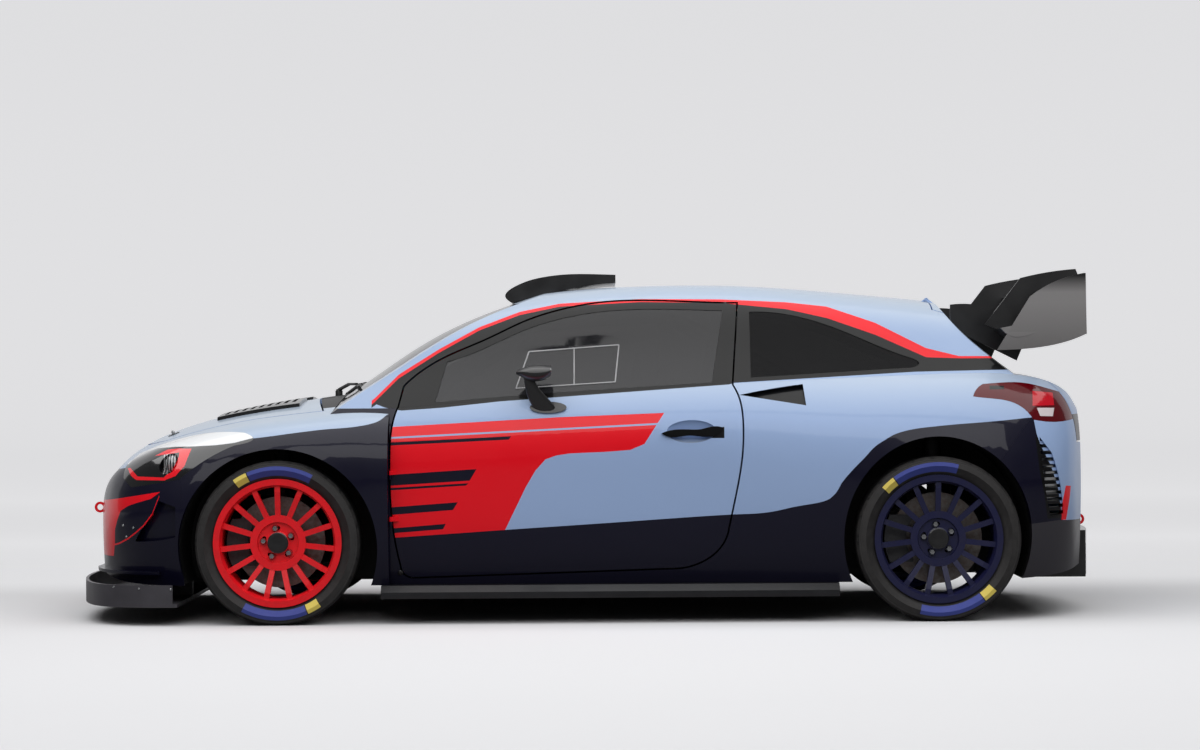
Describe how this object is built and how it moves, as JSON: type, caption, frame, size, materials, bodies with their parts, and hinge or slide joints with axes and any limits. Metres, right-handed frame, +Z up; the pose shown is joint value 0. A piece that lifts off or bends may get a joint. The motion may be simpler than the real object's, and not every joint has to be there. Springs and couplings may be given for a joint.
{
  "type": "rally car",
  "caption": "Three-door rally car with flared arches, roof scoop and tall rear wing; doors, bonnet and tailgate open, the front wheels steer and all wheels turn.",
  "frame": {"origin": "on the ground, at the middle of the overall length and width", "axes": "+X forwards, +Y to the driver's left, +Z up"},
  "size_m": [4.1, 1.8686, 1.3762],
  "materials": {
    "body_blue": "gloss paint with stripes",
    "black_plastic": "satin",
    "carbon": "clear-coated carbon fibre",
    "glass": "tinted",
    "lamp_clear": "clear lens over chrome",
    "lamp_red": "red lens",
    "wheel_red": "satin paint",
    "wheel_navy": "satin paint",
    "tyre": "rubber",
    "iron": "machined faces",
    "alloy": "machined",
    "steel": "satin paint",
    "cage_grey": "gloss paint",
    "fabric": "woven",
    "tow_red": "gloss paint"
  },
  "bodies": {
    "chassis": {"body_side_left": "body_blue", "body_side_right": "body_blue", "roof": "body_blue", "front_fenders": "body_blue", "front_bumper": "body_blue", "rear_bumper": "body_blue", "quarter_windows": "glass", "roof_scoop": "carbon", "windscreen": "glass", "cowl": "black_plastic", "grille": "black_plastic", "headlamps": "lamp_clear", "tail_lamps": "lamp_red", "diffuser": "carbon", "front_splitter": "carbon", "side_skirts": "carbon", "floor_pan": "steel", "wheelhouses": "steel", "engine": "alloy", "front_subframe": "steel", "rear_suspension": "steel", "drivetrain": "iron", "front_driveshafts": "iron", "roll_cage": "cage_grey", "seats": "fabric", "dashboard": "carbon", "steering_wheel": "fabric", "tow_eyes": "tow_red"},
    "bonnet": {"bonnet": "body_blue", "bonnet_vents": "carbon"},
    "tailgate": {"tailgate": "body_blue", "rear_window": "glass", "rear_wing": "carbon"},
    "door_left": {"door_left": "body_blue", "door_glass_left": "glass", "mirror_left": "carbon"},
    "knuckle_left": {"front_knuckle_left": "alloy"},
    "wheel_front_left": {"wheel_front_left": "wheel_red", "tyre_front_left": "tyre", "brake_disc_front_left": "iron"},
    "wheel_rear_left": {"wheel_rear_left": "wheel_navy", "tyre_rear_left": "tyre", "brake_disc_rear_left": "iron"},
    "door_right": {"door_right": "body_blue", "door_glass_right": "glass", "mirror_right": "carbon"},
    "knuckle_right": {"front_knuckle_right": "alloy"},
    "wheel_front_right": {"wheel_front_right": "wheel_red", "tyre_front_right": "tyre", "brake_disc_front_right": "iron"},
    "wheel_rear_right": {"wheel_rear_right": "wheel_navy", "tyre_rear_right": "tyre", "brake_disc_rear_right": "iron"}
  },
  "joints": [
    {"name": "door_left_hinge", "type": "hinge", "parent": "chassis", "child": "door_left", "pos_m": [0.762, 0.872, 0.45], "axis": [0, 0, -1], "range_deg": [0, 65]},
    {"name": "door_right_hinge", "type": "hinge", "parent": "chassis", "child": "door_right", "pos_m": [0.762, -0.872, 0.45], "axis": [0, 0, 1], "range_deg": [0, 65]},
    {"name": "tailgate_hinge", "type": "hinge", "parent": "chassis", "child": "tailgate", "pos_m": [-1.389, 0, 1.264], "axis": [0, 1, 0], "range_deg": [0, 70]},
    {"name": "bonnet_hinge", "type": "hinge", "parent": "chassis", "child": "bonnet", "pos_m": [1.036, 0, 0.866], "axis": [0, -1, 0], "range_deg": [0, 60]},
    {"name": "steer_left", "type": "hinge", "parent": "chassis", "child": "knuckle_left", "pos_m": [1.2, 0.748, 0.205], "axis": [0, -0.2547, 0.967], "range_deg": [-30, 30]},
    {"name": "steer_right", "type": "hinge", "parent": "chassis", "child": "knuckle_right", "pos_m": [1.2, -0.748, 0.205], "axis": [0, 0.2547, 0.967], "range_deg": [-30, 30]},
    {"name": "spin_front_left", "type": "hinge", "parent": "knuckle_left", "child": "wheel_front_left", "pos_m": [1.2, 0.82, 0.32], "axis": [0, 1, 0], "continuous": true},
    {"name": "spin_front_right", "type": "hinge", "parent": "knuckle_right", "child": "wheel_front_right", "pos_m": [1.2, -0.82, 0.32], "axis": [0, 1, 0], "continuous": true},
    {"name": "spin_rear_left", "type": "hinge", "parent": "chassis", "child": "wheel_rear_left", "pos_m": [-1.37, 0.82, 0.32], "axis": [0, 1, 0], "continuous": true},
    {"name": "spin_rear_right", "type": "hinge", "parent": "chassis", "child": "wheel_rear_right", "pos_m": [-1.37, -0.82, 0.32], "axis": [0, 1, 0], "continuous": true}
  ],
  "couplings": [
    {"joint": "steer_right", "follows": "steer_left", "ratio": 1}
  ]
}
